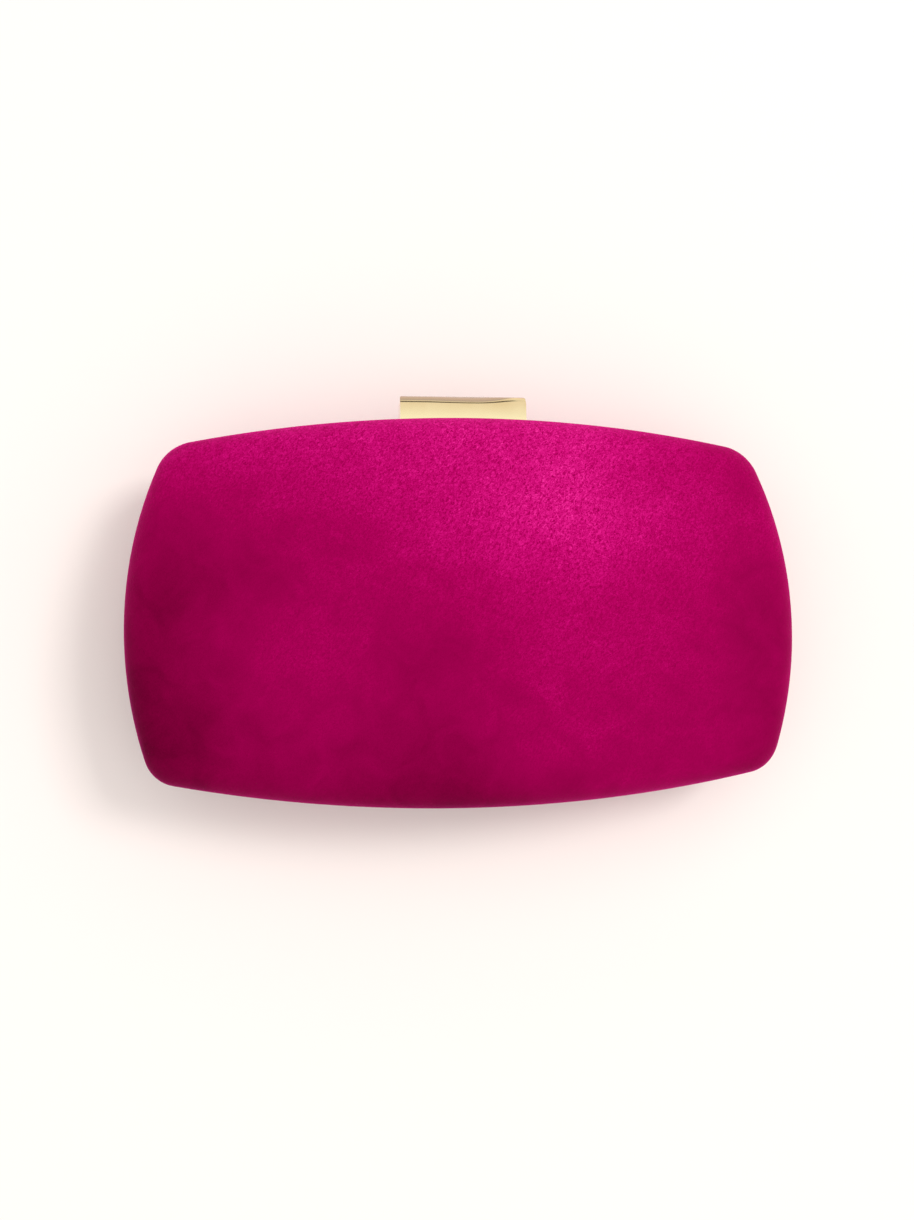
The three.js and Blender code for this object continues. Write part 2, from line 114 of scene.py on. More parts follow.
def outline(inset):
    """The outline moved inwards, anticlockwise from +X, with the same number of points at every inset."""
    clasp, hinge = quarter_outline(inset, "clasp"), quarter_outline(inset, "hinge")
    return np.vstack([
        clasp[:-1],
        clasp[:0:-1] * (-1, 1),
        hinge[:-1] * (-1, -1),
        hinge[:0:-1] * (1, -1),
    ])


def dome(points, flat_cut):
    """Height of the face above the seam, flattened softly where the back rests."""
    x, y = points[..., 0], points[..., 1]
    height = DEPTH - x**2 / (2 * FACE_RADIUS_X) - y**2 / (2 * FACE_RADIUS_Y)
    if not flat_cut:
        return height
    limit, soft = DEPTH - flat_cut, 0.5
    share = np.clip(0.5 + 0.5 * (limit - height) / soft, 0, 1)
    return limit + (height - limit) * share - soft * share * (1 - share)


def steepness(points):
    return np.hypot(points[:, 0] / FACE_RADIUS_X, points[:, 1] / FACE_RADIUS_Y)


def wavy_insets(insets):
    """The outline's point j at inset insets[j], for insets that differ round the outline."""
    levels = np.linspace(insets.min() - 0.01, insets.max() + 0.01, 6)
    rings = np.stack([outline(level) for level in levels])
    place = (insets - levels[0]) / (levels[-1] - levels[0]) * (len(levels) - 1)
    low = np.minimum(place.astype(int), len(levels) - 2)
    share = (place - low)[:, None]
    j = np.arange(len(insets))
    return rings[low, j] * (1 - share) + rings[low + 1, j] * share


def bowl(depth, flat_cut, rim):
    """One surface of a skin, as rings of (x, y, height above the seam) from its edge to its centre."""
    outside, meeting = outline(EDGE_RADIUS - 2), outline(EDGE_RADIUS - 1)
    slope = np.arctan(np.maximum(dome(meeting, 0) - dome(outside, 0), 0))
    meet = wavy_insets(EDGE_RADIUS * (1 - np.sin(slope)))
    centre = dome(meet, 0) - EDGE_RADIUS * np.cos(slope)
    reach = EDGE_RADIUS - depth
    wall = outline(depth)
    rings = [
        np.column_stack([wall, rim + (centre - rim) * i / WALL_ROWS])
        for i in range(WALL_ROWS)
    ]
    for i in range(EDGE_ROWS + 1):
        a = (math.pi / 2 - slope) * i / EDGE_ROWS
        plan = wavy_insets(EDGE_RADIUS - reach * np.cos(a))
        rings.append(np.column_stack([plan, centre + reach * np.sin(a)]))
    edge = rings[-1][:, :2]
    drop = depth * np.hypot(1, steepness(edge))
    # The round edge ends a little off the dome, and the face takes that up near the edge.
    lift = rings[-1][:, 2] - (dome(edge, flat_cut) - drop)
    for i in range(1, FACE_ROWS):
        share = 1 - i / FACE_ROWS
        plan = edge * share
        height = dome(plan, flat_cut) - depth * np.hypot(1, steepness(plan))
        rings.append(np.column_stack([plan, height + lift * share**6]))
    rings.append(np.array([[0, 0, DEPTH - flat_cut - depth]]))
    return rings


# ---- Mesh helpers ----

def make_object(name, vertices, faces, material, smooth=True):
    """A new object with its faces turned outwards. Its points are in metres."""
    mesh = bpy.data.meshes.new(name)
    mesh.from_pydata([tuple(v) for v in vertices], [], faces)
    bm = bmesh.new()
    bm.from_mesh(mesh)
    bmesh.ops.recalc_face_normals(bm, faces=bm.faces)
    bm.to_mesh(mesh)
    bm.free()
    if smooth:
        mesh.shade_smooth()
    piece = bpy.data.objects.new(name, mesh)
    bpy.context.scene.collection.objects.link(piece)
    if material:
        mesh.materials.append(material)
    return piece


def skinned(name, rings, material, loop=False):
    """A surface through rings of points in millimetres. A ring of one point closes an end."""
    starts = np.cumsum([0] + [len(r) for r in rings])
    faces = []
    for i in range(len(rings) - (0 if loop else 1)):
        k = (i + 1) % len(rings)
        size = max(len(rings[i]), len(rings[k]))
        for j in range(size):
            following = (j + 1) % size
            low = [starts[i]] if len(rings[i]) == 1 else [starts[i] + j, starts[i] + following]
            high = [starts[k]] if len(rings[k]) == 1 else [starts[k] + following, starts[k] + j]
            faces.append([int(n) for n in low + high])
    return make_object(name, np.vstack(rings) * MM, faces, material)


def to_frame(rings, side):
    """From heights above the seam to heights above the floor, for the front (+1) or the back (-1)."""
    return [ring * (1, 1, side) + (0, 0, SEAM) for ring in rings]


def ruffle(points, seed, sizes):
    """Smooth noise at each point: sizes lists (wavelength in mm, height in mm)."""
    total = np.zeros(len(points))
    for i, (wavelength, height) in enumerate(sizes):
        shift = Vector((seed * 7.3, seed * 3.1 + i * 11.7, seed * 5.9))
        total += [height * noise.noise(Vector(p) / wavelength + shift) for p in points]
    return total


def apply_modifiers(piece):
    graph = bpy.context.evaluated_depsgraph_get()
    mesh = bpy.data.meshes.new_from_object(piece.evaluated_get(graph))
    piece.modifiers.clear()
    piece.data = mesh


def combine(piece, other, operation):
    """A boolean of two objects: the second one is used up."""
    modifier = piece.modifiers.new(operation, "BOOLEAN")
    modifier.operation, modifier.object, modifier.solver = operation, other, "EXACT"
    apply_modifiers(piece)
    bpy.data.objects.remove(other)


def ease_edges(piece, width, segments, angle):
    """Rounds the edges sharper than an angle in degrees, by a width in millimetres."""
    modifier = piece.modifiers.new("edges", "BEVEL")
    modifier.width, modifier.segments = width * MM, segments
    modifier.limit_method, modifier.angle_limit = "ANGLE", math.radians(angle)
    modifier.harden_normals = True
    piece.data.shade_smooth()


def block(name, low, high):
    corners = [(x, y, z) for x in (low[0], high[0]) for y in (low[1], high[1]) for z in (low[2], high[2])]
    faces = [(0, 1, 3, 2), (4, 6, 7, 5), (0, 4, 5, 1), (2, 3, 7, 6), (0, 2, 6, 4), (1, 5, 7, 3)]
    return make_object(name, np.array(corners) * MM, faces, None, smooth=False)


def rod_x(name, radius, x0, x1, y, z):
    """A round rod along X."""
    sides = 32
    angles = 2 * math.pi * np.arange(sides) / sides
    ring = np.column_stack([np.zeros(sides), y + radius * np.cos(angles), z + radius * np.sin(angles)])
    rings = [np.array([[x0, y, z]]), ring + (x0, 0, 0), ring + (x1, 0, 0), np.array([[x1, y, z]])]
    return skinned(name, rings, None)


# ---- Materials ----

class Nodes:
    """Short calls to build one material's node tree."""

    def __init__(self, name):
        self.material = bpy.data.materials.new(name)
        self.material.use_nodes = True
        self.tree = self.material.node_tree
        self.shader = self.tree.nodes["Principled BSDF"]
        self.place = self.tree.nodes.new("ShaderNodeTexCoord").outputs["Object"]

    def node(self, kind, **inputs):
        made = self.tree.nodes.new(kind)
        for key, value in inputs.items():
            self.feed(made.inputs[key.replace("_", " ")], value)
        return made

    def feed(self, socket, value):
        if isinstance(value, bpy.types.NodeSocket):
            self.tree.links.new(value, socket)
        else:
            socket.default_value = value

    def stretched(self, x, y, z):
        """Object coordinates scaled: a scale under 1 draws a pattern out along that axis."""
        return self.turned(0.0, (x, y, z))

    def turned(self, angle, scale):
        """Object coordinates turned about Z, then scaled."""
        made = self.node("ShaderNodeMapping", Vector=self.place)
        made.vector_type = "TEXTURE"
        made.inputs["Rotation"].default_value = (0, 0, angle)
        made.inputs["Scale"].default_value = tuple(1 / v for v in scale)
        return made.outputs["Vector"]

    def axis(self, name):
        return self.node("ShaderNodeSeparateXYZ", Vector=self.place).outputs[name]

    def facing(self, name):
        """How far the surface faces along one of the piece's own axes."""
        normal = self.tree.nodes.new("ShaderNodeTexCoord").outputs["Normal"]
        return self.node("ShaderNodeSeparateXYZ", Vector=normal).outputs[name]

    def patch(self, centre, reach):
        """1 at a place in X and Y, fading smoothly to 0 at the given reach along each, in millimetres."""
        made = self.node("ShaderNodeMapping", Vector=self.place)
        made.vector_type = "TEXTURE"
        made.inputs["Location"].default_value = (centre[0] * MM, centre[1] * MM, 0)
        made.inputs["Scale"].default_value = (reach[0] * MM, reach[1] * MM, 1)
        ball = self.node("ShaderNodeTexGradient", Vector=made.outputs["Vector"])
        ball.gradient_type = "SPHERICAL"
        smooth = self.node("ShaderNodeMapRange", Value=ball.outputs["Fac"])
        smooth.interpolation_type = "SMOOTHSTEP"
        return smooth.outputs["Result"]

    def total(self, start, *terms):
        """The start plus the sum of (value, weight) pairs."""
        result = start
        for value, weight in terms:
            result = self.math("MULTIPLY_ADD", value, weight, result)
        return result

    def noise(self, size_mm, detail=2.0, distortion=0.0, vector=None, roughness=0.5):
        """Noise whose marks are about size_mm wide."""
        made = self.node(
            "ShaderNodeTexNoise",
            Vector=vector or self.place,
            Scale=1 / (size_mm * MM),
            Detail=detail,
            Roughness=roughness,
            Distortion=distortion,
        )
        return made.outputs["Fac"]

    def ramp(self, value, low, high, start=0.0, end=1.0):
        """A straight ramp from start at low to end at high, held level beyond them."""
        made = self.node("ShaderNodeMapRange", Value=value)
        made.inputs["From Min"].default_value, made.inputs["From Max"].default_value = low, high
        made.inputs["To Min"].default_value, made.inputs["To Max"].default_value = start, end
        return made.outputs["Result"]

    def math(self, operation, *values):
        made = self.tree.nodes.new("ShaderNodeMath")
        made.operation = operation
        for socket, value in zip(made.inputs, values):
            self.feed(socket, value)
        return made.outputs["Value"]

    def mix(self, share, a, b):
        """From colour a at share 0 to colour b at share 1."""
        made = self.tree.nodes.new("ShaderNodeMix")
        made.data_type = "RGBA"
        self.feed(made.inputs["Factor"], share)
        self.feed(made.inputs["A"], a)
        self.feed(made.inputs["B"], b)
        return made.outputs["Result"]

    def colours(self, value, stops):
        """A colour ramp through (position, colour) stops."""
        made = self.node("ShaderNodeValToRGB", Fac=value)
        ramp = made.color_ramp
        while len(ramp.elements) < len(stops):
            ramp.elements.new(0.5)
        for element, (position, colour) in zip(ramp.elements, stops):
            element.position, element.color = position, (*colour, 1)
        return made.outputs["Color"]

    def bump(self, height, distance_mm, strength=1.0, normal=None):
        made = self.node("ShaderNodeBump", Height=height, Strength=strength, Distance=distance_mm * MM)
        if normal:
            self.feed(made.inputs["Normal"], normal)
        return made.outputs["Normal"]

    def finish(self, **inputs):
        for key, value in inputs.items():
            self.feed(self.shader.inputs[key.replace("_", " ")], value)
        return self.material


class WorldNodes(Nodes):
    """The same calls for the scene's world."""

    def __init__(self, name):
        world = bpy.data.worlds.new(name)
        bpy.context.scene.world = world
        world.use_nodes = True
        self.tree = world.node_tree
        self.place = self.tree.nodes.new("ShaderNodeTexCoord").outputs["Generated"]

    def light(self, colour):
        self.feed(self.tree.nodes["Background"].inputs["Color"], colour)


# How light the nap lies: a level, and painted light and shade over it: a drift along X and Y per metre,
# darker to the right and lighter upwards, and (centre, reach, gain) of patches on the face, in millimetres,
# that paint a highlight at the upper right, shade to the left, the bottom and the right, and sheen at the
# left rim.
NAP_LEVEL, LIGHT_AND_SHADE_DRIFT = 0.418, (-0.75, 1.7)
LIGHT_AND_SHADE_PATCHES = [
    ((30, 40), (25, 55), 0.06),
    ((-90, -15), (130, 110), -0.39),
    ((5, -75), (55, 45), -0.15),
    ((90, 25), (35, 95), -0.10),
    ((-60, -20), (65, 60), 0.21),
    ((15, 25), (125, 25), 0.06),
    # Painted sheen along the left rim.
    ((-106, 8), (16, 35), 0.05),
]
NAP_CLOUDS = 0.045

# The grain's strength grows with how light the nap is, painted light included, so the painted highlight
# carries painted sparkle: (lightness, strength) at both ends.
GRAIN_FAINT, GRAIN_STRONG = (0.28, 0.03), (0.62, 0.66)


def suede():
    """Short napped micro-suede: painted light and shade patches (a highlight at the upper right, shade to
    the left and bottom), soft clouds, pebbled nap and fine lighter fibre ends that also stand for painted
    glints.
    """
    n = Nodes("suede")
    clouds = n.ramp(n.noise(45, 2.0, 0.6), 0.3, 0.7, -0.5, 0.5)
    brushed = n.ramp(n.noise(11, 3.0, 1.0), 0.3, 0.7, -0.5, 0.5)
    # The patches and the drift paint light and shade into the suede's colour: a highlight at the upper
    # right, shade to the left, bottom and right.
    patches = [(n.patch(centre, reach), gain) for centre, reach, gain in LIGHT_AND_SHADE_PATCHES]
    drift = [(n.axis(name), slope) for name, slope in zip("XY", LIGHT_AND_SHADE_DRIFT)]
    level = n.total(NAP_LEVEL, *patches, *drift, (clouds, NAP_CLOUDS), (brushed, NAP_CLOUDS))
    pebble = n.noise(0.95, 1.5, 1.2, vector=n.turned(0.9, (1.0, 1.6, 1.0)), roughness=0.55)
    fibres = n.noise(0.35, 2.0, 0.4)
    # Lighter fibre ends, which also stand for painted glints.
    tips_and_glints = n.ramp(n.noise(0.6, 1.0), 0.60, 0.75)
    grain = n.total(
        -0.04,
        (n.ramp(pebble, 0.3, 0.7, -0.5, 0.5), 0.8),
        (n.ramp(fibres, 0.3, 0.7, -0.5, 0.5), 0.35),
        (tips_and_glints, 0.35),
    )
    # The grain grows stronger under the painted highlight: painted sparkle.
    strength = n.ramp(level, GRAIN_FAINT[0], GRAIN_STRONG[0], GRAIN_FAINT[1], GRAIN_STRONG[1])
    level = n.math("MULTIPLY_ADD", grain, strength, level)
    tone = n.colours(level, [
        (0.10, (0.100, 0.0001, 0.017)),
        (0.20, (0.200, 0.0002, 0.040)),
        (0.35, (0.350, 0.0005, 0.082)),
        (0.50, (0.500, 0.0030, 0.145)),
        (0.65, (0.650, 0.0100, 0.215)),
        (0.95, (0.900, 0.0500, 0.360)),
    ])
    relief = n.bump(pebble, 0.18, 0.5, n.bump(fibres, 0.08, 0.5))
    return n.finish(
        Base_Color=tone,
        Roughness=0.7,
        Specular_IOR_Level=0.02,
        Specular_Tint=(1.0, 0.01, 0.35, 1),
        Sheen_Weight=0.60,
        Sheen_Roughness=0.30,
        Sheen_Tint=(1.0, 0.03, 0.46, 1),
        Normal=relief,
    )


def plate_marks(n):
    """The brushed haze and handled spots of a plated part, and its roughness."""
    haze = n.noise(3.0, 4.0, 0.3, vector=n.stretched(0.15, 1.0, 1.0))
    spots = n.ramp(n.noise(7.0, 3.0), 0.35, 0.7)
    return haze, spots, n.ramp(haze, 0.3, 0.75, 0.07, 0.18)


def gold():
    """Polished pale gold plate with a faint ripple."""
    n = Nodes("gold")
    haze, spots, roughness = plate_marks(n)
    ripple = n.noise(9.0, 0.0, vector=n.stretched(0.42, 1.0, 1.0))
    return n.finish(
        Base_Color=n.mix(spots, (0.88, 0.69, 0.37, 1), (0.94, 0.77, 0.45, 1)),
        Metallic=1.0,
        Roughness=roughness,
        Normal=n.bump(ripple, 0.8, 1.0, n.bump(haze, 0.01, 0.3)),
    )


# The clasp bar's round top isn't quite true: (place along X, reach, tilt) of its shallow waves. Place and
# reach are in millimetres, and the tilt is a slope. The waves bend the top's bump and the edge of its
# painted tan reflection.
BAR_WAVES = [(2.0, 15.0, -0.22), (18.0, 13.0, 0.50)]


def bar_gold():
    """The clasp bar's plate with painted reflection: paler towards the purse, a painted tan-brown reflection
    on its round top, and gently wavy there.
    """
    n = Nodes("bar_gold")
    haze, spots, roughness = plate_marks(n)
    above = n.math("MAXIMUM", n.math("SUBTRACT", n.axis("Y"), (TOP + CLASP_TOP - CLASP_ROUND) * MM), 0.0)
    wave = n.total(0.0, *[(n.patch((x, 0), (reach, 1000)), tilt) for x, reach, tilt in BAR_WAVES])
    slope = n.math("MULTIPLY", wave, n.math("DIVIDE", above, CLASP_ROUND * MM))
    lean = n.math("SUBTRACT", n.facing("Y"), slope)
    tone = n.mix(spots, (0.80, 0.62, 0.34, 1), (0.86, 0.69, 0.40, 1))
    # Painted reflection: paler near the purse, standing for the bright room seen in the polished front.
    tone = n.mix(n.ramp(n.axis("Y"), (TOP + 6) * MM, (TOP + 1) * MM), tone, (0.99, 0.87, 0.53, 1))
    # Painted reflection: tan-brown where the round top faces along +Y, standing for darker surroundings; the
    # waves bend its edge.
    tone = n.mix(n.ramp(lean, 0.40, 0.48), tone, (0.50, 0.37, 0.25, 1))
    return n.finish(
        Base_Color=tone,
        Metallic=1.0,
        Roughness=roughness,
        Normal=n.bump(n.math("MULTIPLY", slope, above), 500, 1.0, n.bump(haze, 0.01, 0.3)),
    )


def steel():
    """Plain drawn steel with fine lines along X."""
    n = Nodes("steel")
    lines = n.noise(0.4, 3.0, vector=n.stretched(0.05, 1.0, 1.0))
    stains = n.noise(4.0, 3.0)
    return n.finish(
        Base_Color=n.mix(n.ramp(stains, 0.3, 0.7), (0.42, 0.42, 0.43, 1), (0.60, 0.60, 0.61, 1)),
        Metallic=1.0,
        Roughness=n.ramp(lines, 0.3, 0.7, 0.25, 0.42),
        Normal=n.bump(lines, 0.02, 0.4),
    )


def satin():
    """Satin: long float yarns one way, fine cross yarns the other, and soft colour drift."""
    n = Nodes("satin")
    tone = (0.56, 0.37, 0.17)
    warp = n.noise(0.35, 2.0, vector=n.stretched(0.06, 1.0, 1.0))
    weft = n.noise(0.35, 2.0, vector=n.stretched(1.0, 0.12, 1.0))
    drift = n.noise(40.0, 1.0, vector=n.stretched(0.5, 1.0, 1.0))
    lighter = tuple(min(1.0, c * 1.16) for c in tone) + (1,)
    darker = tuple(c * 0.9 for c in tone) + (1,)
    colour = n.mix(n.ramp(drift, 0.3, 0.7), darker, lighter)
    colour = n.mix(n.ramp(warp, 0.35, 0.65, 0.0, 0.25), colour, lighter)
    return n.finish(
        Base_Color=colour,
        Roughness=n.ramp(warp, 0.3, 0.7, 0.3, 0.46),
        Specular_IOR_Level=0.6,
        Sheen_Weight=0.25,
        Sheen_Roughness=0.4,
        Sheen_Tint=(1.0, 0.92, 0.8, 1),
        Normal=n.bump(warp, 0.05, 0.5, n.bump(weft, 0.03, 0.4)),
    )


def foam():
    """Open-cell padding foam."""
    n = Nodes("foam")
    cells = n.node("ShaderNodeTexVoronoi", Vector=n.place, Scale=1 / (0.6 * MM)).outputs["Distance"]
    return n.finish(
        # Painted shade: darker in each pore's hollow, where the bump sinks.
        Base_Color=n.mix(n.ramp(cells, 0.0, 0.6), (0.45, 0.40, 0.32, 1), (0.80, 0.77, 0.69, 1)),
        Roughness=0.95,
        Specular_IOR_Level=0.2,
        Normal=n.bump(cells, 0.25, 0.8),
    )


def board():
    """Moulded dark shell with a fine spark-eroded grain."""
    n = Nodes("board")
    grain = n.noise(0.5, 3.0)
    patches = n.noise(18.0, 2.0)
    return n.finish(
        Base_Color=n.mix(n.ramp(patches, 0.3, 0.7), (0.017, 0.015, 0.018, 1), (0.035, 0.032, 0.037, 1)),
        Roughness=n.ramp(grain, 0.3, 0.7, 0.45, 0.62),
        Normal=n.bump(grain, 0.05, 0.5),
    )


def paper():
    """The pale studio sweep."""
    n = Nodes("paper")
    mottle = n.noise(400.0, 2.0)
    return n.finish(
        Base_Color=n.mix(mottle, (0.932, 0.856, 0.826, 1), (0.944, 0.870, 0.840, 1)),
        Roughness=0.9,
        Specular_IOR_Level=0.1,
    )


SUEDE, SATIN, FOAM, BOARD, PAPER = suede(), satin(), foam(), board(), paper()
GOLD, BAR_GOLD, STEEL = gold(), bar_gold(), steel()


# ---- The skins of each half ----

# Unevenness of the covers' and linings' faces: (wavelength, height) in millimetres.
COVER_WAVES, LINING_WAVES = [(34, 0.14), (13, 0.06)], [(22, 0.35), (7, 0.14)]
WAVES_FADE_ROWS = 10

# The covers come down to the frame, closer than the stiff skins under them.
COVER_RIM = HALF_GAP + FRAME_BAND + 0.04


def area_of(piece):
    return sum(p.area for p in piece.data.polygons)


def skin(name, depths, side, flat_cut, material, seed=0, sizes=(), rim=RIM):
    """A closed skin with a rounded rim. sizes adds smooth noise to both of its faces."""
    half = (depths[1] - depths[0]) / 2
    outer = bowl(depths[0], flat_cut, rim + half)
    inner = bowl(depths[1], flat_cut, rim + half)
    outer, inner = (pushed_face(rings, seed, sizes, inwards=flat_cut > 0) for rings in (outer, inner))
    middle = (outer[0] + inner[0]) / 2
    lip = []
    for i in range(1, RIM_ROWS):
        a = math.pi * i / RIM_ROWS
        lip.append(middle + (outer[0] - middle) * math.cos(a) - (0, 0, half * math.sin(a)))
    return skinned(name, to_frame([*reversed(outer), *lip, *inner], side), material)


def pushed_face(rings, seed, sizes, inwards):
    """Smooth noise on a skin's face, fading out down its side wall. inwards keeps it below the face."""
    if not sizes:
        return rings
    made = []
    for i, ring in enumerate(rings):
        plan = np.column_stack([ring[:, :2], np.zeros(len(ring))])
        push = min(1.0, i / WAVES_FADE_ROWS) * ruffle(plan, seed, sizes)
        if inwards:
            push = np.minimum(push, 0)
        made.append(ring + np.column_stack([np.zeros((len(ring), 2)), push]))
    return made


def build_half(name, side, flat_cut, seed):
    """One half's cover, padding, shell and lining."""
    cover = skin(f"{name}_cover_suede", COVER, side, flat_cut, SUEDE, seed, COVER_WAVES, COVER_RIM)
    padding = skin(f"{name}_padding_foam", PADDING, side, flat_cut, FOAM)
    shell = skin(f"{name}_shell_moulding", SHELL, side, flat_cut, BOARD)
    lining = skin(f"{name}_lining_satin", LINING, side, flat_cut, SATIN, seed + 5, LINING_WAVES)
    for piece, node, slot in (
        (cover, "cover", "suede"),
        (padding, "padding", "foam"),
        (shell, "shell", "board"),
        (lining, "lining", "satin"),
    ):
        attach(piece, f"{name}_half")
        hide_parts(f"{name}_{node}")


# ---- The frames and their hinge ----

def frame_ring(name, side):
    """An L-section ring with a softly rounded outer edge."""
    top = HALF_GAP + FRAME_BAND
    bulge = 0.45
    section = [(FLANGE[0] + bulge, HALF_GAP), (FLANGE[1], HALF_GAP), (FLANGE[1], top), (LIP[1], top)]
    section += [(LIP[1], LIP_DEPTH), (LIP[0], LIP_DEPTH), (LIP[0], top), (FLANGE[0] + bulge, top)]
    for i in range(1, RIM_ROWS):
        a = math.pi * i / RIM_ROWS
        middle = HALF_GAP + FRAME_BAND / 2
        section.append((FLANGE[0] + bulge * (1 - math.sin(a)), middle + FRAME_BAND / 2 * math.cos(a)))
    rings = [np.column_stack([outline(s), np.full(len(outline(s)), h)]) for s, h in section]
    return skinned(name, to_frame(rings, side), GOLD, loop=True)


def build_frame(name, side, first):
    """One half's frame, with every second hinge knuckle from the first."""
    piece = frame_ring(f"{name}_frame_gold", side)
    relief = block("relief", (-HINGE_RELIEF, -HEIGHT, 0), (HINGE_RELIEF, HINGE_Y + HALF_GAP, 2 * SEAM))
    combine(piece, relief, "DIFFERENCE")
    clear = HINGE_HALF + 0.5 + GAP
    combine(piece, rod_x("clearance", HINGE_BARREL + GAP, -clear, clear, HINGE_Y, SEAM), "DIFFERENCE")
    length = (2 * HINGE_HALF - (HINGE_KNUCKLES - 1) * GAP) / HINGE_KNUCKLES
    for i in range(first, HINGE_KNUCKLES, 2):
        x0 = -HINGE_HALF + i * (length + GAP)
        z0, z1 = sorted((SEAM + side * GAP, SEAM + side * HINGE_BARREL))
        arm = block("arm", (x0, HINGE_Y, z0), (x0 + length, HINGE_Y + HINGE_ARM, z1))
        combine(arm, rod_x("knuckle", HINGE_BARREL, x0, x0 + length, HINGE_Y, SEAM), "UNION")
        combine(piece, arm, "UNION")
    combine(piece, rod_x("bore", HINGE_BORE, -HINGE_HALF - 1, HINGE_HALF + 1, HINGE_Y, SEAM), "DIFFERENCE")
    ease_edges(piece, width=0.12, segments=2, angle=40)
    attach(piece, f"{name}_half")
    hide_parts(f"{name}_frame")


# ---- The clasp ----

def round_topped(half, bottom, top, radius, steps):
    """A block with two rounded top corners, seen along the bar or from the front."""
    corner = arc((half - radius, top - radius), radius, 0, math.pi / 2, steps)
    corner = np.vstack([corner, [(half - radius, top)]])
    return np.vstack([[(half, bottom)], corner, corner[::-1] * (-1, 1), [(-half, bottom)]])


def prism(name, profile, to_xyz, reach, material):
    """A closed prism on a profile, from -reach to +reach."""
    count = len(profile)
    vertices = [to_xyz(a, b, r) for r in (-reach, reach) for a, b in profile]
    faces = [(i, (i + 1) % count, count + (i + 1) % count, count + i) for i in range(count)]
    faces += [tuple(range(count)), tuple(range(count, 2 * count))]
    return make_object(name, np.array(vertices) * MM, faces, material, smooth=False)


def build_clasp_bar():
    """A hollow cap over the seam, round on top, with rounded ends."""
    half_x, half_z = CLASP_LENGTH / 2, CLASP_DEEP / 2
    inside_x, inside_z = half_x - CLASP_WALL, half_z - CLASP_WALL
    below = CLASP_FRONT - 1

    def along_x(w, u, r):
        return r, TOP + u, SEAM + w

    def along_z(x, u, r):
        return x, TOP + u, SEAM + r

    section = round_topped(half_z, CLASP_FRONT, CLASP_TOP, CLASP_ROUND, 14)
    bar = prism("clasp_bar_gold", section, along_x, half_x, BAR_GOLD)
    ends = round_topped(half_x, below, CLASP_TOP, CLASP_CORNER, 8)
    combine(bar, prism("front", ends, along_z, CLASP_DEEP, None), "INTERSECT")
    hollow = round_topped(inside_z, below, CLASP_TOP - CLASP_WALL, CLASP_ROUND - CLASP_WALL, 14)
    combine(bar, prism("hollow", hollow, along_x, inside_x, None), "DIFFERENCE")
    rear = block(
        "rear",
        (-CLASP_LENGTH, TOP + below, SEAM - CLASP_DEEP),
        (CLASP_LENGTH, TOP + CLASP_REAR, SEAM - inside_z + CLASP_REAR_SLOT),
    )
    combine(bar, rear, "DIFFERENCE")
    ease_edges(bar, width=0.22, segments=3, angle=40)
    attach(bar, "clasp")
    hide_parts("clasp_bar")


def dress_cad_nodes():
    """The small hardware keeps its CAD shape, with its own finish and edges eased by a width."""
    looks = {
        "chain_loop_left": (GOLD, 0.2), "chain_loop_right": (GOLD, 0.2),
        "clasp_base": (GOLD, 0.12), "clasp_keeper": (GOLD, 0.15),
        "clasp_lever": (STEEL, 0.12), "clasp_pin": (STEEL, 0.1), "hinge_pin": (STEEL, 0.1),
        "lever_rivet_left": (STEEL, 0.12), "lever_rivet_right": (STEEL, 0.12),
        "clasp_spring": (STEEL, 0.0),
    }
    for name, (material, width) in looks.items():
        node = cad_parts[name]
        node.data.materials.clear()
        node.data.materials.append(material)
        if width:
            ease_edges(node, width, segments=2, angle=50)


# ---- The inside ----

# The end gussets run up the short sides, and the hinge gusset joins them along the hinge. Each lies inside a
# wall at an inset from the outline, and its stack of pleats reaches as far above the seam as below it.
GUSSET_Y, GUSSET_WALL, GUSSET_ROWS, GUSSET_PLEATS = (-46.0, 17.0), 7.0, 40, 5
GUSSET_STACK, GUSSET_LOW_SHARE, GUSSET_DEPTHS = 4.6, 0.25, (1.0, 8.0)
HINGE_GUSSET_END, HINGE_GUSSET_WALL, HINGE_GUSSET_ROWS, HINGE_GUSSET_PLEATS = -38.5, 7.4, 89, 4
HINGE_GUSSET_STACK, HINGE_GUSSET_FOLD = 3.4, 2.4
FOLD_STEPS, PLEAT_VARIETY, SATIN_THICKNESS = 6, 1.7, 0.16


def edge_x(inset, y):
    """Where the outline's right-hand edge is at a height y."""
    ring = outline(inset)
    right = ring[ring[:, 0] > WIDTH / 4]
    right = right[np.argsort(right[:, 1])]
    return float(np.interp(y, right[:, 1], right[:, 0]))


def respaced(line, rows):
    """The same line with evenly spaced points."""
    lengths = np.concatenate([[0], np.cumsum(np.hypot(*np.diff(line, axis=0).T))])
    places = np.linspace(0, lengths[-1], rows + 1)
    return np.column_stack([np.interp(places, lengths, line[:, k]) for k in (0, 1)])


def folded(v, pleats):
    """How far in the folded cloth lies at the share v of its stack: 0 at the wall, 1 at a crease."""
    return 0.5 - 0.5 * math.cos(2 * math.pi * v * pleats)


def cloth(name, points, columns, thickness):
    """A satin sheet through rows of points in millimetres, and its area before it is thickened."""
    step = columns + 1
    firsts = [i * step + j for i in range(len(points) // step - 1) for j in range(columns)]
    faces = [(a, a + 1, a + step + 1, a + step) for a in firsts]
    piece = make_object(name, np.array(points) * MM, faces, SATIN)
    area = area_of(piece)
    thick = piece.modifiers.new("cloth", "SOLIDIFY")
    thick.thickness, thick.offset = thickness * MM, 0
    apply_modifiers(piece)
    piece.data.shade_smooth()
    return piece, area


def pleated_cloth(name, points, columns):
    """Satin whose columns run from the back half to the front half, pleated within the stack's height."""
    piece, area = cloth(f"{name}_pleats", points, columns, SATIN_THICKNESS)
    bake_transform(piece)
    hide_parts(name)


